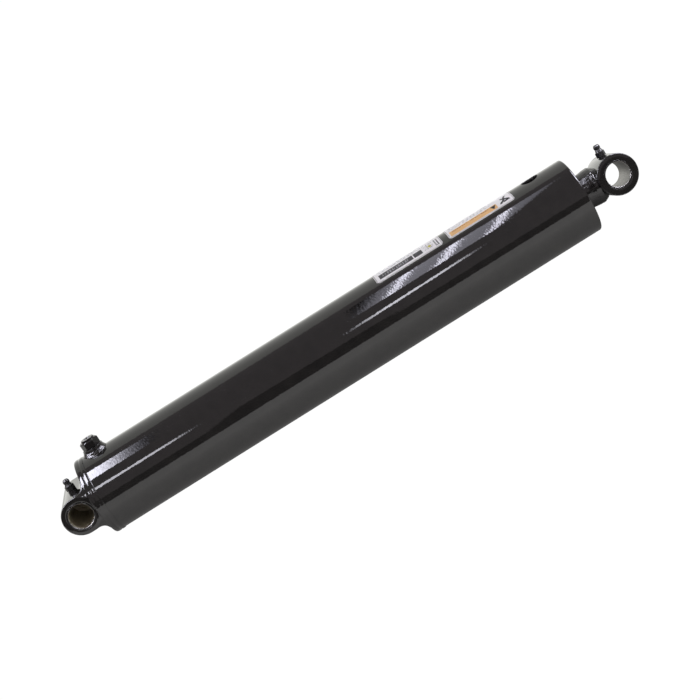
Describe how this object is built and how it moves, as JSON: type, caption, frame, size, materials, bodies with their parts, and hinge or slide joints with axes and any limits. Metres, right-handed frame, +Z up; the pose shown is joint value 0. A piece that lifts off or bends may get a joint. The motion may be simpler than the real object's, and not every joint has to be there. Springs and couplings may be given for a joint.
{
  "type": "hydraulic cylinder",
  "caption": "Welded double-acting hydraulic cylinder, closed, with a cross-bored pin eye and grease nipple at each end, a plugged cap-end port and an open head-end port.",
  "frame": {"origin": "on the surface the closed cylinder lies on, under the barrel's axis and midway between its two ends", "axes": "+X along the barrel from the cap eye to the rod eye, +Y along the pin bores away from the viewer's side, +Z up, the way the ports and grease nipples face"},
  "size_m": [0.6776, 0.0844, 0.099],
  "materials": {
    "gloss_black_paint": "gloss black, slight orange peel",
    "machined_steel": "bare turned steel",
    "chromed_rod": "hard chrome, polished",
    "zinc_plated_steel": "zinc plated, satin",
    "nitrile_rubber": "matte black",
    "polyurethane": "satin blue",
    "filled_nylon": "satin dark grey",
    "plug_plastic": "dull brown-black",
    "label_film": "white printed film, semi-gloss"
  },
  "bodies": {
    "barrel": {"barrel_tube": "gloss_black_paint", "cap_weld": "gloss_black_paint", "cap_eye_casting": "gloss_black_paint", "cap_bushing": "machined_steel", "cap_bore_plug": "plug_plastic", "cap_grease_nipple": "gloss_black_paint", "base_port_boss": "gloss_black_paint", "base_port_weld": "gloss_black_paint", "base_port_plug": "gloss_black_paint", "plug_o_ring": "nitrile_rubber", "head_gland": "machined_steel", "gland_rod_bearing": "filled_nylon", "gland_rod_seal": "polyurethane", "gland_wiper": "polyurethane", "gland_o_ring": "nitrile_rubber", "gland_backup_ring": "filled_nylon", "gland_retaining_ring": "machined_steel", "label_cap_side": "label_film", "label_rod_side": "label_film"},
    "piston_rings": {"piston_wear_ring_cap": "filled_nylon", "piston_wear_ring_rod": "filled_nylon", "piston_seal": "polyurethane", "piston_energiser": "nitrile_rubber"},
    "rod": {"piston_rod": "chromed_rod", "piston_nut": "zinc_plated_steel", "piston": "machined_steel", "piston_o_ring": "nitrile_rubber", "rod_eye": "gloss_black_paint", "rod_eye_weld": "gloss_black_paint", "rod_bushing": "machined_steel", "rod_grease_nipple": "gloss_black_paint"},
    "cap_check_ball": {"cap_nipple_ball": "machined_steel"},
    "rod_check_ball": {"rod_nipple_ball": "machined_steel"}
  },
  "joints": [
    {"name": "rod_slide", "type": "slide", "parent": "barrel", "child": "piston_rings", "axis": [1, 0, 0], "range_m": [0, 0.4064]},
    {"name": "rod_spin", "type": "hinge", "parent": "piston_rings", "child": "rod", "pos_m": [0, 0, 0.04225], "axis": [1, 0, 0], "continuous": true},
    {"name": "cap_ball_press", "type": "slide", "parent": "barrel", "child": "cap_check_ball", "axis": [0, 0, -1], "range_m": [0, 0.0008], "stiffness_N_per_m": 300},
    {"name": "rod_ball_press", "type": "slide", "parent": "rod", "child": "rod_check_ball", "axis": [0, -0.108, -0.9942], "range_m": [0, 0.0008], "stiffness_N_per_m": 300}
  ]
}
